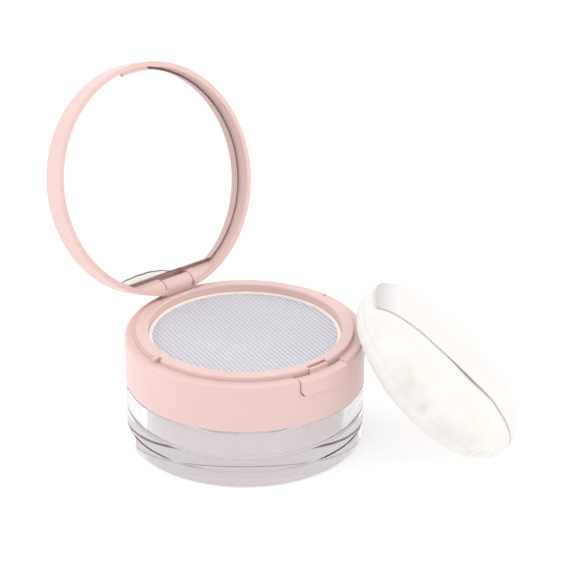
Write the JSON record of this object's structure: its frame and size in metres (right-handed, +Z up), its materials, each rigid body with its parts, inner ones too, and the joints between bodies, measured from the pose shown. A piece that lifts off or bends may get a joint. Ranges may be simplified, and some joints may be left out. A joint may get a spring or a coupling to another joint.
{
  "type": "loose powder compact",
  "caption": "Round loose-powder compact: clear jar, screw collar with a net sifter, hinged mirror lid with a push catch, and a leaning puff with a satin band.",
  "frame": {"origin": "middle of the jar's flat underside, on the jar's axis", "axes": "+Z up along the jar's axis, +Y towards the lid's hinge, -Y towards the push button, +X to the right of a person facing the button"},
  "size_m": [0.1006, 0.1272, 0.1006],
  "materials": {
    "clear_plastic": "polished clear",
    "loose_powder": "fine loose powder",
    "white_foam": "closed-cell foam",
    "pink_plastic": "satin moulded",
    "net_mesh": "fine elastic mesh",
    "cream_plastic": "satin",
    "spring_steel": "rolled",
    "pin_steel": "drawn",
    "mirror_glass": "silvered glass",
    "foam_tape": "foam tape",
    "puff_foam": "soft foam",
    "puff_flock": "short velour pile",
    "puff_flock_back": "short velour pile",
    "satin_ribbon": "woven satin"
  },
  "bodies": {
    "jar": {"jar": "clear_plastic", "powder": "loose_powder"},
    "riser": {"neck_seal": "white_foam"},
    "collar": {"collar": "pink_plastic", "sifter_holder": "pink_plastic", "sifter_net": "net_mesh", "net_hoop": "cream_plastic", "button_spring": "spring_steel", "hinge_pin": "pin_steel"},
    "button": {"push_button": "pink_plastic"},
    "lid": {"lid_shell": "pink_plastic", "mirror": "mirror_glass", "mirror_tape": "foam_tape"},
    "puff": {"puff_core": "puff_foam", "puff_face": "puff_flock", "puff_back": "puff_flock_back", "puff_ribbon": "satin_ribbon"}
  },
  "joints": [
    {"name": "collar_rise", "type": "slide", "parent": "jar", "child": "riser", "axis": [0, 0, 1], "range_m": [0, 0.00402]},
    {"name": "collar_turn", "type": "hinge", "parent": "riser", "child": "collar", "pos_m": [0, 0, 0.025], "axis": [0, 0, 1], "range_deg": [0, 120]},
    {"name": "lid_hinge", "type": "hinge", "parent": "collar", "child": "lid", "pos_m": [0, 0.0326, 0.0354], "axis": [1, 0, 0], "range_deg": [0, 107.5]},
    {"name": "button_press", "type": "slide", "parent": "collar", "child": "button", "axis": [0, 1, 0], "range_m": [0, 0.0006], "stiffness_N_per_m": 1200, "springref_m": -0.0008, "deforming": ["button_spring"]},
    {"name": "puff_lift", "type": "slide", "parent": "collar", "child": "puff", "axis": [0.3976, -0.4494, 0.8], "range_m": [0, 0.0605]}
  ],
  "couplings": [
    {"joint": "collar_rise", "follows": "collar_turn", "m_per_rad": 0.0019099},
    {"joint": "puff_lift", "follows": "lid_hinge", "m_per_rad": 0.031979}
  ]
}
